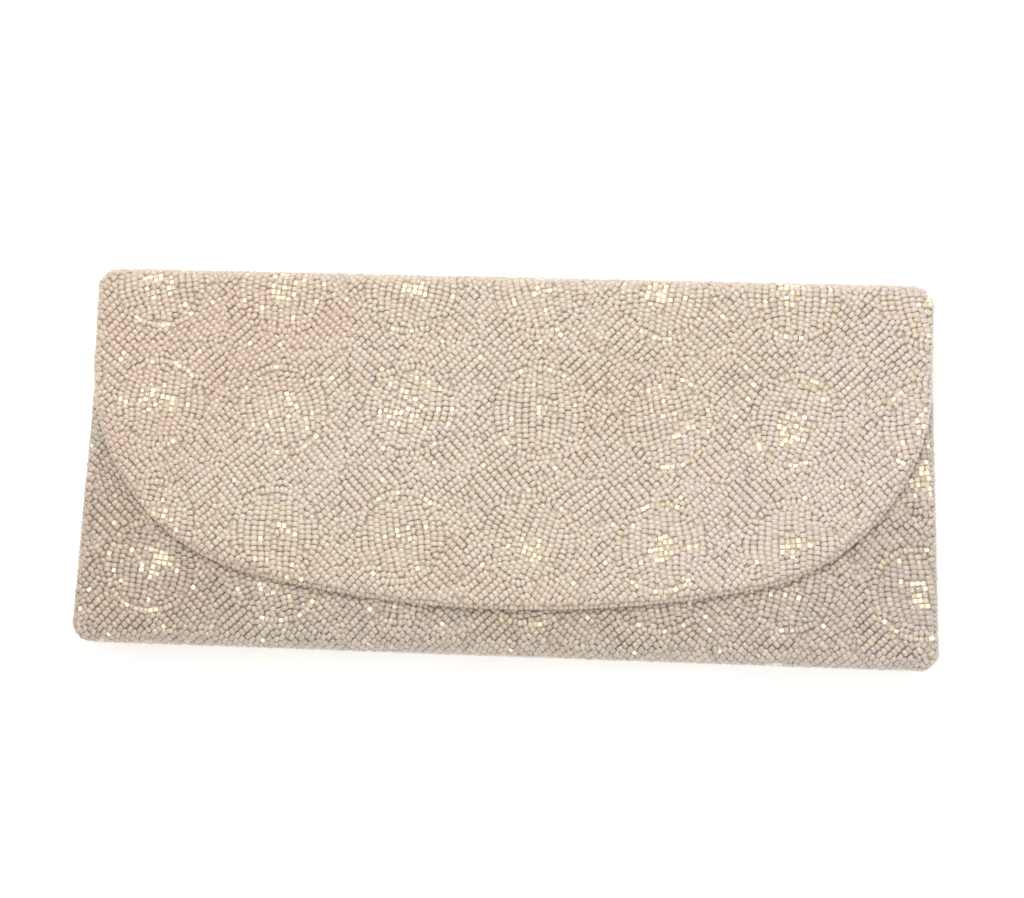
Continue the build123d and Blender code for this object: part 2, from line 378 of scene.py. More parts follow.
def thinned(beads, gap):
    """Drops each bead that stands nearer than gap to one kept before it."""
    cells, kept = {}, []
    for number, (x, y) in enumerate(beads[:, :2]):
        cell = (math.floor(x / gap), math.floor(y / gap))
        near = [p for i in (-1, 0, 1) for j in (-1, 0, 1) for p in cells.get((cell[0] + i, cell[1] + j), [])]
        if all((x - px) ** 2 + (y - py) ** 2 >= gap * gap for px, py in near):
            cells.setdefault(cell, []).append((x, y))
            kept.append(number)
    return beads[kept]


def fillers(beads, low, high, gap):
    """Single beads for the bare spots that are left between rows."""
    across = np.arange(-FILLER_HALF, FILLER_HALF, FILLER_GRID)
    grid_x, grid_y = np.meshgrid(across, np.arange(low, high, FILLER_GRID))
    spots = np.stack([grid_x.ravel(), grid_y.ravel()], 1)
    spots += DRAW.uniform(-0.2, 0.2, spots.shape)
    turned = DRAW.uniform(0, math.pi, len(spots))
    spots = np.column_stack([spots, turned, np.zeros(len(spots))])
    return thinned(clear_of(spots, beads, gap), FILLER_APART)


def inset_at(x, s):
    """How far inside the beaded cloth's outline a place lies."""
    return np.where(s < FLAP_END, flap_inset(x, TIP_Y + s), half_at(s) - abs(x))


def off_snap(beads):
    """The field without the bare patch under the snap's socket, on the front panel."""
    middle = (box("snap_socket")[0] + box("snap_socket")[1]) / 2
    away = np.hypot(beads[:, 0] - middle.x, beads[:, 1] - TOTAL + MOUTH_Y - middle.y)
    return beads[(away > SNAP_BARE) | (beads[:, 1] < WALL_MIDDLE)]


def field_beads(low, high, row_y, shift):
    """All the beads of the field between two lengths of the path, as (x, s, angle, kind)."""
    beads, rounds, fields = pattern(low - shift, high - shift, row_y)
    beads = thinned(beads, HEART_GAP)
    beads = rows_of([beads, clear_of(thinned(rounds, ROW_GAP), beads, HEART_CLEAR)])
    beads = rows_of([beads, clear_of(thinned(fields, ROW_GAP), beads, ROUND_CLEAR)])
    for gap in FILLER_GAPS:
        beads = evened(rows_of([beads, fillers(beads, low - shift, high - shift, gap)]))
    beads[:, 1] += shift
    beads = beads[(beads[:, 1] > low) & (beads[:, 1] < high)]
    x, s = beads[:, 0], beads[:, 1]
    last_row = EDGE_CENTRE - math.radians(LAST_ROW) * EDGE_RADIUS
    return beads[inset_at(x, s) > last_row + 0.8 * ROW]


def flap_ring(inset):
    """Points and outward directions round the flap's edge, moved in by inset, from left bend to right."""
    corner, arc = FLAP_CORNER - inset, FLAP_ARC - inset
    lean = math.atan2(ARC_Y - CORNER_Y, CORNER_X)
    down = np.linspace(FOLD_Y - TOP_BEND, CORNER_Y, 10, endpoint=False)
    side = np.stack([np.full(10, FLAP_HALF - inset), down, np.ones(10), np.zeros(10)], 1)
    turned = -np.linspace(0, lean, 30, endpoint=False)
    c, t = np.cos(turned), np.sin(turned)
    bend = np.stack([CORNER_X + corner * c, CORNER_Y + corner * t, c, t], 1)
    turned = -np.linspace(lean, math.pi / 2, 40)
    c, t = np.cos(turned), np.sin(turned)
    low = np.stack([arc * c, ARC_Y + arc * t, c, t], 1)
    right = np.concatenate([side, bend, low])
    left = right[:-1] * (-1, 1, -1, 1)
    return np.concatenate([left, right[::-1]])


def flap_row(inset, spacing):
    """The same, as evenly spaced points."""
    ring = flap_ring(inset)
    run = np.concatenate([[0], np.cumsum(np.hypot(*np.diff(ring[:, :2], axis=0).T))])
    count = round(run[-1] / spacing)
    places = (np.arange(count) + 0.5) / count * run[-1]
    return np.stack([np.interp(places, run, ring[:, k]) for k in range(4)], 1)


# -------- beads as meshes
SIDES = 8
BARREL = ((-0.5, 0.36), (-0.25, 0.48), (0.25, 0.48), (0.5, 0.36))
CUT = ((-0.5, 0.40), (-0.42, 0.46), (0.42, 0.46), (0.5, 0.40))
CUT_CORNER = 0.28  # half the turn across a square bead's cut-off corner
BEAD_FULL = 1.22  # rows of round beads press against each other
BEAD_LONG = 1.03  # and so do the beads of a row
SATIN_LONG = 1.40
SATIN_WIDE = 1.62
BEAD_TILT = 0.09  # how unevenly beads lie, in radians
SATIN_TILT = 1.6  # and how much more so the satin ones
PLACE_SPREAD = 0.05
SIZE_SPREAD = 0.04
SIZE_LIMITS = (0.88, 1.12)


def bead_shape(rings, squared):
    """A closed bead along X: rings of points, each (place along, radius)."""
    turns = np.arange(SIDES) * 2 * math.pi / SIDES
    if squared:
        beside = np.where(np.arange(SIDES) % 2, CUT_CORNER, -CUT_CORNER)
        turns = np.arange(SIDES) // 2 * math.pi / 2 + beside + math.pi / 4
    points = [(place, radius * math.cos(t), radius * math.sin(t)) for place, radius in rings for t in turns]
    return np.array(points)


def tube_faces(rings, sides):
    """The faces of a closed tube whose points go round it ring by ring."""
    faces = []
    for ring in range(rings - 1):
        for side in range(sides):
            a, b = ring * sides + side, ring * sides + (side + 1) % sides
            faces.append((a, b, b + sides, a + sides))
    first = tuple(range(sides - 1, -1, -1))
    last = tuple((rings - 1) * sides + side for side in range(sides))
    return faces + [first, last]


SHAPES = (bead_shape(BARREL, False), bead_shape(CUT, True))
FACES = tube_faces(len(BARREL), SIDES)


def place_beads(spots):
    """The points of every bead. spots has middle, axis, normal, size and kind for each."""
    middle, axis, normal, kind = spots["middle"], spots["axis"], spots["normal"], spots["kind"]
    count = len(middle)
    tilt = DRAW.normal(0, BEAD_TILT, (count, 3)) * np.where(kind == SATIN, SATIN_TILT, 1)[:, None]
    axis = axis + np.cross(tilt, axis)
    axis /= np.linalg.norm(axis, axis=1)[:, None]
    side = np.cross(normal, axis)
    side /= np.linalg.norm(side, axis=1)[:, None]
    up = np.cross(axis, side)
    size = np.clip(DRAW.normal(1.0, SIZE_SPREAD, (count, 2)), *SIZE_LIMITS)
    square = kind == SATIN
    size[:, 0] *= np.where(square, SATIN_LONG, BEAD_ALONG * BEAD_LONG)
    size[:, 1] *= np.where(square, SATIN_WIDE, BEAD_ACROSS)
    wide = size[:, 1] * np.where(square, 1.0, BEAD_FULL)
    shape = np.where(square[:, None, None], SHAPES[1][None], SHAPES[0][None])
    middle = middle + DRAW.normal(0, PLACE_SPREAD, (count, 3))
    points = middle[:, None, :] + shape[:, :, 0:1] * size[:, None, 0:1] * axis[:, None, :]
    points += shape[:, :, 1:2] * wide[:, None, None] * side[:, None, :]
    return points + shape[:, :, 2:3] * size[:, None, 1:2] * up[:, None, :]


def added(name, data):
    made = bpy.data.objects.new(name, data)
    bpy.context.scene.collection.objects.link(made)
    return made


def new_mesh(name, points, faces):
    mesh = bpy.data.meshes.new(name)
    mesh.from_pydata((np.asarray(points) * MM).tolist(), [], faces)
    mesh.polygons.foreach_set("use_smooth", [True] * len(mesh.polygons))
    mesh.update()
    return added(name, mesh)


def many_object(name, points, smooth, shade, materials):
    """One mesh of many small closed shapes, each with its own material slot."""
    count, corners = points.shape[:2]
    sizes = np.tile([len(face) for face in FACES], count)
    loops = np.concatenate([np.array(face) for face in FACES])
    loops = (loops[None] + (np.arange(count) * corners)[:, None]).ravel()
    mesh = bpy.data.meshes.new(name)
    mesh.vertices.add(count * corners)
    mesh.vertices.foreach_set("co", (points * MM).astype(np.float32).ravel())
    mesh.loops.add(len(loops))
    mesh.loops.foreach_set("vertex_index", loops.astype(np.int32))
    mesh.polygons.add(len(sizes))
    starts = np.concatenate([[0], np.cumsum(sizes)[:-1]])
    mesh.polygons.foreach_set("loop_start", starts.astype(np.int32))
    mesh.polygons.foreach_set("material_index", np.repeat(shade, len(FACES)).astype(np.int32))
    mesh.polygons.foreach_set("use_smooth", np.repeat(smooth, len(FACES)))
    mesh.update(calc_edges=True)
    for material in materials:
        mesh.materials.append(material)
    return added(name, mesh)


def bead_object(name, spots, shade):
    made = many_object(name, place_beads(spots), spots["kind"] != SATIN, shade, BEAD_SHADES)
    return made


# -------- beads on the cloth
def in_space(flat, x):
    """Puts (y, z) pairs and their x together."""
    return np.column_stack([x, flat])


def outward(x, s):
    """The direction, across and along the path, that leads most quickly out of the beaded cloth."""
    y = TIP_Y + s
    step = 0.01
    flap_x = flap_inset(x - step, y) - flap_inset(x + step, y)
    flap_y = flap_inset(x, y - step) - flap_inset(x, y + step)
    length = np.hypot(flap_x, flap_y)
    on_flap = s < FLAP_END
    return np.where(on_flap, flap_x / length, np.sign(x)), np.where(on_flap, flap_y / length, 0.0)


def field_spots(beads):
    """Beads of the field in space. Those past the start of a rolled edge go round it."""
    x, s, angle, kind = beads.T
    out_x, out_s = outward(x, s)
    past = np.maximum(EDGE_CENTRE - inset_at(x, s), 0)
    turned = past / EDGE_RADIUS
    back = past - EDGE_RADIUS * np.sin(turned)
    x, s = x - back * out_x, s - back * out_s
    drop = EDGE_RADIUS * (1 - np.cos(turned))
    point, along, out = on_path(s, crown(x, s) - drop)
    zero = np.zeros(len(x))
    along, out = in_space(along, zero), in_space(out, zero)
    sideways = out_s[:, None] * along
    sideways[:, 0] = out_x
    axis = np.sin(angle)[:, None] * along
    axis[:, 0] = np.cos(angle)
    normal = np.cos(turned)[:, None] * out + np.sin(turned)[:, None] * sideways
    share = (axis * sideways).sum(1)[:, None]
    outer = share * sideways
    tipped = np.cos(turned)[:, None] * outer - np.sin(turned)[:, None] * share * out
    return {"middle": in_space(point, x), "axis": axis - outer + tipped, "normal": normal,
            "kind": kind, "x": x, "s": s}


def rolled(degrees):
    """Inset, drop and the shares of the panel's normal and of sideways at an angle round a rolled edge."""
    angle = math.radians(degrees)
    inset = EDGE_CENTRE - EDGE_RADIUS * math.sin(angle)
    return inset, EDGE_RADIUS * (1 - math.cos(angle)), math.cos(angle), math.sin(angle)


def flap_edge_spots(degrees):
    inset, drop, face, side = rolled(degrees)
    x, y, out_x, out_y = flap_row(inset, STEP).T
    s = y - TIP_Y
    z = FLAP_Z + LIFT - drop + crown(x, s)
    zero = np.zeros(len(x))
    return {"middle": np.column_stack([x, y, z]), "axis": np.column_stack([-out_y, out_x, zero]),
            "normal": np.column_stack([side * out_x, side * out_y, zero + face]),
            "kind": zero, "x": x, "s": s}


def side_edge_spots(degrees, sign):
    inset, drop, face, side = rolled(degrees)
    count = round((TOTAL - FLAP_END) / STEP)
    s = FLAP_END + (np.arange(count) + 0.5) / count * (TOTAL - FLAP_END)
    x = sign * (half_at(s) - inset)
    point, along, out = on_path(s, crown(x, s) - drop)
    zero = np.zeros(count)
    normal = in_space(out, zero) * face
    normal[:, 0] = sign * side
    return {"middle": in_space(point, x), "axis": in_space(along, zero), "normal": normal,
            "kind": zero, "x": x, "s": s}


def all_spots():
    flap_to_wall = field_beads(0.0, WALL_MIDDLE, MEDALLION_FLAP_Y, -TIP_Y)
    wall_to_mouth = field_beads(WALL_MIDDLE, TOTAL - 0.8, MEDALLION_FRONT_Y, TOTAL - MOUTH_Y)
    groups = [field_spots(off_snap(rows_of([flap_to_wall, wall_to_mouth])))]
    groups.append(flap_edge_spots(LAST_ROW))
    groups += [side_edge_spots(LAST_ROW, sign) for sign in (-1, 1)]
    return {key: np.concatenate([group[key] for group in groups]) for key in groups[0]}


HUES = ((214, 197, 184), (211, 196, 177), (209, 187, 167))
TONES = (0.83, 0.885, 0.94, 0.97)
HUE_LIMITS = (-0.6, 0.6)  # the warmth at which one hue gives way to the next
FRONT_SHADED_TONE = 0.6  # painted shade: the front panel's beads take darker tones than the rest, for the shade that falls there
OTHER_TONE = 2.4
STRAW_SHADE = len(HUES) * len(TONES)  # the straw and satin shades follow the pearl ones
SATIN_SHADE = STRAW_SHADE + 1


def shade_of(spots):
    """Each bead's shade: warmer to the left and in soft patches, darker on the front panel as painted shade,
    and uneven.
    """
    x, s = spots["x"], spots["s"]
    patch = np.sin(x / 21.0 + 1.1 * np.sin(s / 17.0)) + np.sin(s / 14.0 + 0.8 * np.sin(x / 26.0) + 2.0)
    warmth = 0.5 * patch - x / 95.0 + DRAW.normal(0, 0.45, len(x))
    hue = np.digitize(warmth, HUE_LIMITS)
    # painted shade: past the bottom fold's middle, on the front, beads take the darker tones
    level = np.where(s > WALL_MIDDLE, FRONT_SHADED_TONE, OTHER_TONE)
    tone = np.clip(np.round(level + DRAW.normal(0, 0.55, len(x))), 0, len(TONES) - 1)
    draw = DRAW.random(len(x))
    round_shade = np.where(spots["kind"] == STRAW, STRAW_SHADE, len(TONES) * hue + tone)
    # painted glint: the satin beads are one glass, and the two lighter shades stand for facets that catch the
    # light
    satin_shade = SATIN_SHADE + np.digitize(draw, (0.4, 0.7))
    return np.where(spots["kind"] == SATIN, satin_shade, round_shade).astype(int)


def taken(spots, keep):
    return {key: value[keep] for key, value in spots.items()}


def bend(a, b, first, last):
    """Two bodies, and the (y, z) places in millimetres between which a piece turns from one to the other."""
    ends = {"start": (0, first[0] * MM, first[1] * MM), "end": (0, last[0] * MM, last[1] * MM)}
    return a, b, ends


def upper_bend(depth=0.0):
    """The bend between spine and flap, for a layer this deep inside the beaded cloth."""
    first = (FOLD_Y - depth, FLAP_Z - TOP_BEND)
    return bend("spine", "flap", first, (FOLD_Y - TOP_BEND, FLAP_Z - depth))


def lower_bend(depth=0.0):
    """The bend between back and spine."""
    first = (FOLD_Y - TOP_BEND, BACK_Z + depth)
    return bend("back", "spine", first, (FOLD_Y - depth, BACK_Z + TOP_BEND))


def front_bend(depth=0.0):
    """The bend between back and front, at the bottom fold."""
    first = (depth - FOLD_Y, FRONT_Z - BOTTOM_BEND)
    return bend("back", "front", first, (BOTTOM_BEND - FOLD_Y, FRONT_Z - depth))


def follow(piece, hold):
    """Rides on a body; a piece held between two bodies is fixed in place and rides on neither."""
    if isinstance(hold, str):
        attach(piece, hold)
    else:
        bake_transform(piece)


def make_beadwork():
    spots = all_spots()
    shade = shade_of(spots)
    regions = [
        ("flap_beads", -1, FLAP_END, 3, "flap", ["flap_beadwork", "flap_edge_beads"]),
        ("top_fold_front_beads", FLAP_END, SPINE_MIDDLE, 1, upper_bend(), ["spine_beadwork"]),
        ("top_fold_back_beads", SPINE_MIDDLE, BACK_START, 1, lower_bend(), ["spine_beadwork"]),
        ("back_beads", BACK_START, WALL_MIDDLE, 4, "back", ["back_beadwork", "bottom_beadwork"]),
        ("bottom_fold_beads", WALL_MIDDLE, FRONT_START, 1, front_bend(), ["bottom_beadwork"]),
        ("front_beads", FRONT_START, TOTAL + 1, 4, "front", ["front_beadwork"]),
    ]
    for name, first, last, parts, hold, nodes in regions:
        cuts = np.linspace(-BACK_WIDE, BACK_WIDE, parts + 1)
        for number in range(parts):
            keep = (spots["s"] >= first) & (spots["s"] < last)
            keep &= (spots["x"] >= cuts[number]) & (spots["x"] < cuts[number + 1])
            label = name if parts == 1 else f"{name}_{number + 1}"
            piece = bead_object(label, taken(spots, keep), shade[keep])
            follow(piece, hold)
            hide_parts(*nodes)


# -------- cloth, wadding and lining
WADDING = 0.5
BOARD = 1.0
LINING = 0.3
LINING_INSET = 2.0  # the lining's edge, inside the beaded edge
CLOTH_ROLL = EDGE_RADIUS - SUNK  # the cloth's radius where it turns over an edge
HEM = (2.7, 1.88, math.pi)  # its turned hem: inset, drop and turn
FLAT = 61  # points across a panel
GRID_STEP = 1.3  # and about this far apart along it
FLAP_RINGS = 40
SHARP = math.radians(50)  # edges sharper than this are not smoothed


def grid_faces(rows, columns, first=0, flip=False):
    faces = []
    for i in range(rows - 1):
        for j in range(columns - 1):
            a = first + i * columns + j
            face = (a, a + 1, a + columns + 1, a + columns)
            faces.append(face[::-1] if flip else face)
    return faces


def rim(rows, columns):
    """The border of a grid, in order."""
    top = list(range(columns))
    right = [i * columns + columns - 1 for i in range(1, rows)]
    bottom = [(rows - 1) * columns + j for j in range(columns - 2, -1, -1)]
    left = [i * columns for i in range(rows - 2, 0, -1)]
    return top + right + bottom + left


def solid_sheet(name, outer, inner, material):
    """A closed thin body between two grids of points, each rows by columns."""
    rows, columns = outer.shape[:2]
    count = rows * columns
    faces = grid_faces(rows, columns) + grid_faces(rows, columns, count, True)
    edge = rim(rows, columns)
    faces += [(b, a, a + count, b + count) for a, b in zip(edge, edge[1:] + edge[:1])]
    points = np.concatenate([outer.reshape(-1, 3), inner.reshape(-1, 3)])
    made = new_mesh(name, points, faces)
    made.data.materials.append(material)
    weld_and_face_out(made)
    return made


def weld_and_face_out(made):
    shape = bmesh.new()
    shape.from_mesh(made.data)
    bmesh.ops.remove_doubles(shape, verts=shape.verts, dist=1e-6)
    bmesh.ops.dissolve_degenerate(shape, edges=shape.edges, dist=1e-7)
    bmesh.ops.recalc_face_normals(shape, faces=shape.faces)
    shape.to_mesh(made.data)
    shape.free()
    made.data.set_sharp_from_angle(angle=SHARP)


def edge_section():
    """The cloth's section at a panel's edge, from its hem to where it lies flat."""
    turns = [math.radians(degrees) for degrees in (90, 60, 30, 0)]
    roll = [(EDGE_CENTRE - CLOTH_ROLL * math.sin(t), CLOTH_ROLL * (1 - math.cos(t)), t) for t in turns]
    return [HEM] + roll


def strip_grid(first, last, lift, section, swollen=True):
    """Points and normals of a layer that follows the path from first to last. section gives the inset, drop
    and turn of its columns from its side edges inwards."""
    s = np.linspace(first, last, max(5, round((last - first) / GRID_STEP)))
    lift = lift(s) if callable(lift) else np.full(len(s), lift)
    half = half_at(s)
    inset, _, _ = section[-1]
    columns = [(-(half - i), d, -t) for i, d, t in section[:-1]]
    columns += [(v * (half - inset), 0.0, 0.0) for v in np.linspace(-1, 1, FLAT)]
    columns += [(half - i, d, t) for i, d, t in section[-2::-1]]
    points, normals = [], []
    for x, drop, turned in columns:
        rise = crown(x, s) if swollen else 0.0
        point, _, out = on_path(s, lift + rise - drop)
        points.append(in_space(point, x))
        normals.append(in_space(out * math.cos(turned), np.full(len(s), math.sin(turned))))
    return np.stack(points, 1), np.stack(normals, 1)


def flap_grid(z, section, swollen=True):
    """The same over the flap: rings that follow its outline and shrink to the middle of the fold."""
    points, normals = [], []
    top = FOLD_Y - TOP_BEND
    rings = [(inset, drop, turned, 1.0) for inset, drop, turned in section]
    rings += [(section[-1][0], 0.0, 0.0, share) for share in np.linspace(1, 0, FLAP_RINGS)[1:]]
    for inset, drop, turned, share in rings:
        x, y, out_x, out_y = flap_ring(inset).T
        x, y = x * share, top + (y - top) * share
        rise = crown(x, y - TIP_Y) if swollen else 0.0
        points.append(np.column_stack([x, y, z - drop + rise + 0 * x]))
        lean = math.sin(turned)
        normals.append(np.column_stack([out_x * lean, out_y * lean, np.full(len(x), math.cos(turned))]))
    return np.array(points), np.array(normals)


def declare_sheet(points, down=None):
    """Works out the length that a piece was cut to, from the lengths of its own layer; the length is not kept
    or used.
    """
    down = down or np.linalg.norm(np.diff(points, axis=0), axis=2).sum(0).max()


def cloth_pieces():
    """The ground cloth under the beads, one piece for each stretch of the path."""
    stretches = [
        ("top_fold_front_cloth", FLAP_END, SPINE_MIDDLE, upper_bend(), "spine_beadwork"),
        ("top_fold_back_cloth", SPINE_MIDDLE, BACK_START, lower_bend(), "spine_beadwork"),
        ("back_ground_cloth", BACK_START, BACK_END, "back", "back_beadwork"),
        ("bottom_fold_cloth", BACK_END, FRONT_START, front_bend(), "bottom_beadwork"),
        ("front_ground_cloth", FRONT_START, TOTAL, "front", "front_beadwork"),
    ]
    layers = [(name, strip_grid(first, last, -SUNK, edge_section()), None, hold, node)
              for name, first, last, hold, node in stretches]
    flap = flap_grid(FLAP_Z + LIFT - SUNK, edge_section())
    layers.append(("flap_ground_cloth", flap, FLAP_END, "flap", "flap_beadwork"))
    for name, (points, normals), down, hold, node in layers:
        piece = solid_sheet(name, points, points - CLOTH * normals, GROUND_CLOTH)
        declare_sheet(points, down)
        follow(piece, hold)
        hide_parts(node)


def lining_lift(s):
    """The lining's outer face below the beads' middles. There is no board in the folds."""
    marks = [FLAP_END, SPINE_START, SPINE_END, BACK_START, BACK_END, WALL_START, WALL_END, FRONT_START]
    return -LIFT - WADDING - BOARD + BOARD * np.interp(s, marks, [0, 1, 1, 0, 0, 1, 1, 0])


def puckers(points, normals, depth, seed):
    """Presses small soft puckers into a layer, as in a hand-sewn lining."""
    x, y = points[..., 0], points[..., 1] + points[..., 2]
    small = np.sin(x / 2.3 + 1.7 * np.sin(y / 7.0 + seed)) * np.sin(y / 11.0 + x / 37.0 + seed)
    large = np.sin(x / 13.0 - y / 9.0 + seed) * np.sin(x / 29.0 + y / 15.0)
    return points - normals * (depth * (2 + small + large) / 4)[..., None]


def lining_pieces():
    """Satin lining all round the inside. Its folds reach past the bends that they turn through."""
    edge = [(LINING_INSET, 0.0, 0.0)]
    past = 8.0
    stretches = [
        ("top_fold_front_lining", FLAP_END, SPINE_END, upper_bend(BOARD), "spine_lining"),
        ("top_fold_back_lining", SPINE_END, BACK_START + past, lower_bend(BOARD), "spine_lining"),
        ("back_satin_lining", BACK_START + past, BACK_END, "back", "back_lining"),
        ("bottom_fold_lining", BACK_END, FRONT_START, front_bend(BOARD), "bottom_lining"),
        ("front_satin_lining", FRONT_START, TOTAL - 0.5, "front", "front_lining"),
    ]
    layers = [(name, strip_grid(first, last, lining_lift, edge, swollen=False), None, hold, node)
              for name, first, last, hold, node in stretches]
    flap = flap_grid(box("flap_lining")[1].z, edge, swollen=False)
    layers.append(("flap_satin_lining", flap, FLAP_END, "flap", "flap_lining"))
    for number, (name, (points, normals), down, hold, node) in enumerate(layers):
        inner = puckers(points - LINING * normals, -normals, 0.2, number)
        piece = solid_sheet(name, points, inner, SATIN_LINING)
        declare_sheet(points, down)
        follow(piece, hold)
        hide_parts(node)


def wadding_pieces():
    """Felted wadding between the cloth and the boards. It swells the front panel and the flap."""
    edge = [(EDGE_CENTRE, 0.0, 0.0)]
    top, under = -SUNK - CLOTH, -LIFT - WADDING
    stretches = [
        ("back_wadding", BACK_START, BACK_END, "back", "back_interlining"),
        ("top_fold_front_wadding", FLAP_END, SPINE_MIDDLE, upper_bend(), "spine_interlining"),
        ("top_fold_back_wadding", SPINE_MIDDLE, BACK_START, lower_bend(), "spine_interlining"),
        ("front_wadding", FRONT_START, TOTAL - 1.0, "front", "front_interlining"),
    ]
    layers = []
    for name, first, last, hold, node in stretches:
        outer, inner = strip_grid(first, last, top, edge)[0], strip_grid(first, last, under, edge, False)[0]
        layers.append((name, outer, inner, hold, node))
    flap_top = flap_grid(FLAP_Z + LIFT + top, edge)[0]
    flap_under = flap_grid(FLAP_Z + LIFT + under, edge, False)[0]
    layers.append(("flap_wadding", flap_top, flap_under, "flap", "flap_interlining"))
    for name, outer, inner, hold, node in layers:
        piece = solid_sheet(name, outer, inner, FELT)
        follow(piece, hold)
        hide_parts(node)


# -------- gussets, pocket and bindings
GUSSET_EDGE = 1.2  # a gusset's sewn edge, inside the front panel's edge
GUSSET_TUCK = (3.0, 15.0)  # how deep it folds in, at the bottom and at the mouth
GUSSET_CLOTH = 0.35
GUSSET_ROWS = 74
GUSSET_COLUMNS = 25
PIPING_SIDES = 20
PIPING_STEP = 1.5
PIPING_END = 0.6  # a binding's ends are rounded over this length
THREAD = 0.36  # a stitch's width, as a share of its shape's


def gusset_grid(sign):
    """A side gusset from the bottom fold to the mouth: rows across it, folded in like a bellows."""
    low_z, high_z = box("left_gusset")[0].z, box("left_gusset")[1].z
    bend_y, round_in = BOTTOM_BEND - FOLD_Y, BOTTOM_BEND - BOARD
    y = np.linspace(bend_y - 0.96 * round_in, box("left_gusset")[1].y, GUSSET_ROWS)
    reach = np.sqrt(np.clip(round_in ** 2 - np.clip(bend_y - y, 0, None) ** 2, 0, None))
    reach[y > bend_y] = round_in
    floor = np.maximum(low_z, BACK_Z + BOTTOM_BEND - reach)
    roof = np.minimum(high_z, FRONT_Z - BOTTOM_BEND + reach)
    half = BACK_WIDE + (BACK_NARROW - BACK_WIDE) * (y + FOLD_Y) / (2 * FOLD_Y) - FRONT_INSIDE - GUSSET_EDGE
    tuck = np.interp(y, (-FOLD_Y, MOUTH_Y), GUSSET_TUCK)
    t = np.linspace(0, 1, GUSSET_COLUMNS)[None]
    depth = 1 - abs(2 * t - 1) ** 1.5
    wave = 0.25 * np.sin(y[:, None] / 5.0 + 2.0 * t) * depth
    x = half[:, None] - tuck[:, None] * depth + wave
    z = floor[:, None] + (roof - floor)[:, None] * t
    return np.stack([sign * x, y[:, None] + 0 * t, z], 2)


def gussets():
    low_z, high_z = box("left_gusset")[0].z, box("left_gusset")[1].z
    hold = bend("back", "front", (0, low_z), (0, high_z))
    for side, sign in (("left", -1), ("right", 1)):
        points = gusset_grid(sign)
        inner = points - np.array((sign * GUSSET_CLOTH, 0, 0))
        piece = solid_sheet(f"{side}_side_gusset", points, inner, GUSSET_SATIN)
        follow(piece, hold)
        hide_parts(f"{side}_gusset")


def slip_pocket():
    """A patch pocket on the back lining, a little full, with its top edge bound."""
    low, high = box("slip_pocket")
    x, y = np.meshgrid(np.linspace(low.x, high.x, 64), np.linspace(low.y, high.y, 44))
    from_edge = np.minimum(np.minimum(x - low.x, high.x - x), y - low.y)
    full = 0.45 * (1 - np.exp(-from_edge / 6.0))
    under = np.stack([x, y, np.full(x.shape, low.z + 0.02)], 2)
    over = under + np.stack([0 * x, 0 * x, 0.25 + full], 2)
    up = np.zeros(over.shape)
    up[..., 2] = 1.0
    over = puckers(over, up, 0.2, 9)
    piece = solid_sheet("slip_pocket_patch", over, under, SATIN_LINING)
    declare_sheet(under)
    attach(piece, "back")
    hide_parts("slip_pocket")


def piping(name, node, body):
    """Bias binding folded round an edge that runs along X, a little rounded, in the space of its CAD node."""
    low, high = box(node)
    middle, half = (low + high) / 2, (high - low) / 2
    length = round(2 * half.x / PIPING_STEP)
    turns = np.arange(PIPING_SIDES) * 2 * math.pi / PIPING_SIDES
    points = []
    for step in range(length + 1):
        place = -1 + 2 * step / length
        near_end = max(0.0, (abs(place) * half.x - half.x + PIPING_END) / PIPING_END)
        taper = math.sqrt(max(0.0, 1 - near_end ** 2))
        size = max(taper, 0.05) * (1 - 0.05 * (0.5 + 0.5 * math.sin(step * 1.9) * math.sin(step * 0.37)))
        y = np.sign(np.cos(turns)) * abs(np.cos(turns)) ** 0.7 * half.y * size
        z = np.sign(np.sin(turns)) * abs(np.sin(turns)) ** 0.7 * half.z * size
        x = np.full(PIPING_SIDES, middle.x + place * half.x)
        points.append(np.column_stack([x, middle.y + y, middle.z + z]))
    faces = tube_faces(length + 1, PIPING_SIDES)
    made = new_mesh(name, np.concatenate(points), faces)
    made.data.materials.append(BINDING_SATIN)
    weld_and_face_out(made)
    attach(made, body)
    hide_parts(node)


def stitches(name, middle, axis, normal, body, pace=1.5):
    """A row of short slanting stitches, each a rounded bit of thread half sunk in the cloth."""
    middle, axis, normal = (np.asarray(v, float) for v in (middle, axis, normal))
    side = np.cross(normal, axis)
    shape = SHAPES[0]
    points = middle[:, None] + shape[:, 0:1] * pace * axis[:, None] + shape[:, 1:2] * THREAD * side[:, None]
    points = points + shape[:, 2:3] * THREAD * normal[:, None]
    count = len(middle)
    made = many_object(name, points, np.ones(count, bool), np.zeros(count, int), [LINING_THREAD])
    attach(made, body)


def slanted(along, out, share=0.55):
    """Directions between along and out."""
    mixed = share * along + math.sqrt(1 - share ** 2) * out
    return mixed / np.linalg.norm(mixed, axis=1)[:, None]


def flap_stitches():
    x, y, out_x, out_y = flap_row(LINING_INSET + 0.1, 3.1).T
    zero = np.zeros(len(x))
    along, out = np.column_stack([-out_y, out_x, zero]), np.column_stack([out_x, out_y, zero])
    z = zero + box("flap_lining")[0].z
    down = np.column_stack([zero, zero, zero - 1])
    stitches("flap_lining_stitches", np.column_stack([x, y, z]), slanted(along, out), down, "flap")


def pocket_stitches():
    low, high = box("slip_pocket")
    sides = np.arange(low.y + 2, high.y, 2.8)
    bottom = np.arange(low.x + 2, high.x, 2.8)
    middle = [(x, y, low.z + 0.2) for x in (low.x + 0.2, high.x - 0.2) for y in sides]
    middle += [(x, low.y + 0.2, low.z + 0.2) for x in bottom]
    out = [(sign, 0.4, 0) for sign in (-1, 1) for _ in sides] + [(0.4, -1, 0)] * len(bottom)
    out = np.array(out) / np.hypot(1, 0.4)
    stitches("slip_pocket_stitches", middle, out, np.tile((0, 0, 1.0), (len(out), 1)), "back", 1.2)


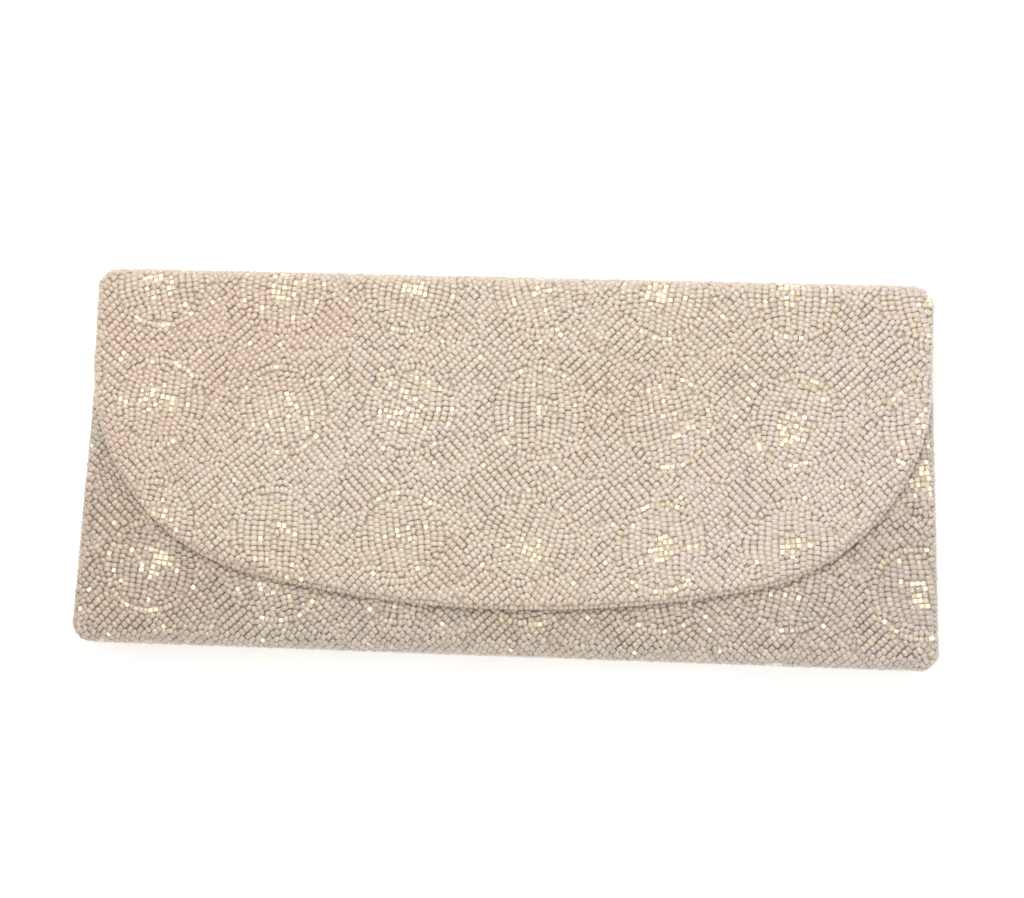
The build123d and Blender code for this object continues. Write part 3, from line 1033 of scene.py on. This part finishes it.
def mouth_stitches():
    low, high = box("front_mouth_binding")
    x = np.arange(low.x + 3, high.x - 2, 2.9)
    zero = np.zeros(len(x))
    middle = np.column_stack([x, zero + low.y - 0.1, zero + box("front_lining")[0].z])
    slant = slanted(np.tile((1.0, 0, 0), (len(x), 1)), np.tile((0, 1.0, 0), (len(x), 1)))
    stitches("mouth_binding_stitches", middle, slant, np.tile((0, 0, -1.0), (len(x), 1)), "front", 1.3)


def inside_pieces():
    gussets()
    slip_pocket()
    piping("pocket_top_binding", "slip_pocket_binding", "back")
    piping("mouth_edge_binding", "front_mouth_binding", "front")
    flap_stitches()
    pocket_stitches()
    mouth_stitches()


# -------- materials
def principled(name, colour, roughness, **more):
    material = bpy.data.materials.new(name)
    material.use_nodes = True
    shader = material.node_tree.nodes["Principled BSDF"]
    shader.inputs["Base Color"].default_value = (*colour, 1)
    shader.inputs["Roughness"].default_value = roughness
    for key, value in more.items():
        shader.inputs[key.replace("_", " ")].default_value = value
    return material


def linear(red, green, blue):
    """Linear colour from ordinary 0 to 255 values."""
    shares = (red / 255, green / 255, blue / 255)
    return tuple(v / 12.92 if v < 0.04045 else ((v + 0.055) / 1.055) ** 2.4 for v in shares)


LUSTRE = {"Coat_Weight": 1.0, "Coat_IOR": 1.9, "Coat_Roughness": 0.15}


def bead_shades():
    """Twelve pearl shades, cool to warm and dark to light, then straw glass and three of satin glass, whose
    two lighter ones are painted glint.
    """
    made = []
    for hue_number, hue in enumerate(HUES):
        for tone_number, tone in enumerate(TONES):
            colour = linear(*(min(250, v * tone) for v in hue))
            name = f"pearl_{hue_number + 1}{tone_number + 1}"
            made.append(principled(name, colour, 0.5, **LUSTRE))
    made.append(principled("straw_glass", linear(200, 184, 156), 0.5, **LUSTRE))
    for name, colour in (("beige", (216, 200, 176)), ("straw", (240, 228, 202)), ("cream", (250, 241, 218))):
        made.append(principled(f"satin_glass_{name}", linear(*colour), 0.2, Coat_Weight=0.8))
    return made


BEAD_SHADES = bead_shades()


# ---- node-based finishes
def add_node(material, kind, vector=None, **values):
    """Adds a node of this kind, with these input values, that reads its place from vector."""
    node = material.node_tree.nodes.new(kind)
    for key, value in values.items():
        node.inputs[key.replace("_", " ")].default_value = value
    if vector:
        material.node_tree.links.new(vector, node.inputs["Vector"])
    return node


def coloured_by(material, source, places, colours):
    """Colours a material along a ramp, by the value of source."""
    ramp = add_node(material, "ShaderNodeValToRGB")
    for element, place, colour in zip(ramp.color_ramp.elements, places, colours):
        element.position = place
        element.color = (*colour, 1)
    material.node_tree.links.new(source, ramp.inputs["Fac"])
    shader = material.node_tree.nodes["Principled BSDF"]
    material.node_tree.links.new(ramp.outputs["Color"], shader.inputs["Base Color"])


def bumped_by(material, source, strength, depth):
    """Roughens a material's surface by the value of source, depth in metres."""
    lumps = add_node(material, "ShaderNodeBump", Strength=strength, Distance=depth)
    material.node_tree.links.new(source, lumps.inputs["Height"])
    shader = material.node_tree.nodes["Principled BSDF"]
    material.node_tree.links.new(lumps.outputs["Normal"], shader.inputs["Normal"])


def woven(name, light, dark, threads, roughness, bump, **more):
    """Plain cloth: crossing threads, threads to the metre, with soft changes of colour."""
    material = principled(name, light, roughness, **more)
    links = material.node_tree.links
    place = add_node(material, "ShaderNodeTexCoord").outputs["Object"]
    cross = add_node(material, "ShaderNodeMath")
    cross.operation = "MULTIPLY"
    for number, direction in enumerate("XY"):
        wave = add_node(material, "ShaderNodeTexWave", place, Scale=threads * math.pi / 10, Distortion=0.6)
        wave.bands_direction = direction
        links.new(wave.outputs["Fac"], cross.inputs[number])
    cloud = add_node(material, "ShaderNodeTexNoise", place, Scale=35)
    both = add_node(material, "ShaderNodeMath")
    both.operation = "MULTIPLY_ADD"
    links.new(cross.outputs[0], both.inputs[0])
    both.inputs[1].default_value = 0.5
    links.new(cloud.outputs["Fac"], both.inputs[2])
    coloured_by(material, both.outputs[0], (0.35, 0.95), (dark, light))
    bumped_by(material, cross.outputs[0], bump, 0.0002)
    return material


def grained(name, light, dark, grain, roughness, bump, **more):
    """A fine grain, grain giving its scale along X, Y and Z, with changes of colour and gloss."""
    material = principled(name, light, roughness, **more)
    place = add_node(material, "ShaderNodeTexCoord").outputs["Object"]
    stretch = add_node(material, "ShaderNodeMapping", place, Scale=grain)
    fine = add_node(material, "ShaderNodeTexNoise", stretch.outputs["Vector"], Scale=1.0, Detail=6)
    coloured_by(material, fine.outputs["Fac"], (0.35, 0.65), (dark, light))
    glossy, dull = 0.8 * roughness, min(1.0, 1.25 * roughness)
    gloss = add_node(material, "ShaderNodeMapRange", To_Min=glossy, To_Max=dull)
    material.node_tree.links.new(fine.outputs["Fac"], gloss.inputs["Value"])
    shader = material.node_tree.nodes["Principled BSDF"]
    material.node_tree.links.new(gloss.outputs["Result"], shader.inputs["Roughness"])
    bumped_by(material, fine.outputs["Fac"], bump, 0.0001)
    return material


GROUND_CLOTH = woven("ground_cloth", linear(230, 219, 206), linear(214, 201, 186), 2400, 0.85, 0.6)
SATIN_LINING = woven("satin_lining", linear(214, 198, 174), linear(206, 189, 164), 3600, 0.34, 0.25,
                     Sheen_Weight=0.15)
GUSSET_SATIN = woven("gusset_satin", linear(210, 193, 169), linear(201, 183, 158), 3600, 0.36, 0.25,
                     Sheen_Weight=0.15)
BINDING_SATIN = woven("binding_satin", linear(220, 204, 180), linear(208, 191, 166), 3000, 0.32, 0.35,
                      Sheen_Weight=0.15)
FELT = woven("felt_wadding", linear(226, 220, 206), linear(196, 188, 172), 900, 0.95, 0.8)
LINING_THREAD = grained("lining_thread", linear(232, 218, 194), linear(200, 184, 158), (4000, 900, 4000),
                        0.7, 0.5)
CARDBOARD = grained("cardboard", linear(188, 166, 132), linear(150, 128, 96), (900, 350, 900), 0.9, 0.5)
SNAP_METAL = grained("snap_metal", linear(206, 204, 198), linear(168, 166, 160), (2500, 250, 900), 0.28, 0.15,
                     Metallic=1.0)
SPRING_WIRE = grained("spring_wire", linear(214, 210, 200), linear(180, 176, 166), (600, 3000, 600), 0.2, 0.1,
                      Metallic=1.0)
SNAP_THREAD = grained("snap_thread", linear(226, 214, 194), linear(190, 176, 152), (3500, 3500, 900),
                      0.7, 0.6)

CAD_FINISHES = {
    "back_board": CARDBOARD, "front_board": CARDBOARD, "flap_board": CARDBOARD,
    "snap_socket": SNAP_METAL, "snap_stud": SNAP_METAL, "snap_socket_spring": SPRING_WIRE,
    "snap_socket_thread": SNAP_THREAD, "snap_stud_thread": SNAP_THREAD,
}


def finish_cad_nodes():
    for node, material in CAD_FINISHES.items():
        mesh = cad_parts[node].data
        mesh.materials.clear()
        mesh.materials.append(material)


# -------- stage
VIEW_DISTANCE = 600.0
VIEW_TILT = (-5.63, -4.26, -1.62)  # degrees about X, Y and Z
VIEW_SHIFT = (-1.18, -6.02)
LENS = 71.02


def make_camera():
    data = bpy.data.cameras.new("camera")
    data.lens = LENS
    data.sensor_width = 36
    data.clip_start, data.clip_end = 0.01, 20
    camera = added("camera", data)
    about_x, about_y, about_z = (Matrix.Rotation(math.radians(v), 4, k) for v, k in zip(VIEW_TILT, "XYZ"))
    turned = about_z @ about_y @ about_x
    seen = Matrix.Translation(Vector((*VIEW_SHIFT, -VIEW_DISTANCE)) * MM) @ turned
    camera.matrix_world = seen.inverted()
    bpy.context.scene.camera = camera


def make_stage():
    mesh = bpy.data.meshes.new("floor")
    far = 3.0
    mesh.from_pydata([(-far, -far, 0), (far, -far, 0), (far, far, 0), (-far, far, 0)], [], [(0, 1, 2, 3)])
    floor = added("floor", mesh)
    glow = {"Emission_Color": (1, 1, 1, 1), "Emission_Strength": 0.25}
    mesh.materials.append(principled("floor_white", (0.9, 0.9, 0.9), 0.8, **glow))


def area_light(name, place, size, power, colour):
    data = bpy.data.lights.new(name, "AREA")
    data.shape = "RECTANGLE"
    data.size, data.size_y = size
    data.energy = power
    data.color = colour
    light = added(name, data)
    light.location = place
    light.rotation_euler = (-Vector(place)).to_track_quat("-Z", "Y").to_euler()


def make_lights():
    world = bpy.data.worlds.new("world")
    world.use_nodes = True
    world.node_tree.nodes["Background"].inputs["Color"].default_value = (1, 0.985, 0.96, 1)
    world.node_tree.nodes["Background"].inputs["Strength"].default_value = 0.9
    bpy.context.scene.world = world
    area_light("key", (-0.1, 0.42, 0.75), (0.22, 0.16), 3, (1, 0.98, 0.94))
    area_light("fill", (0.6, -0.3, 0.9), (0.5, 0.5), 1.5, (0.96, 0.97, 1))


make_camera()
make_stage()
make_lights()
make_beadwork()
cloth_pieces()
lining_pieces()
wadding_pieces()
inside_pieces()
finish_cad_nodes()
bpy.context.scene.view_settings.view_transform = "Standard"
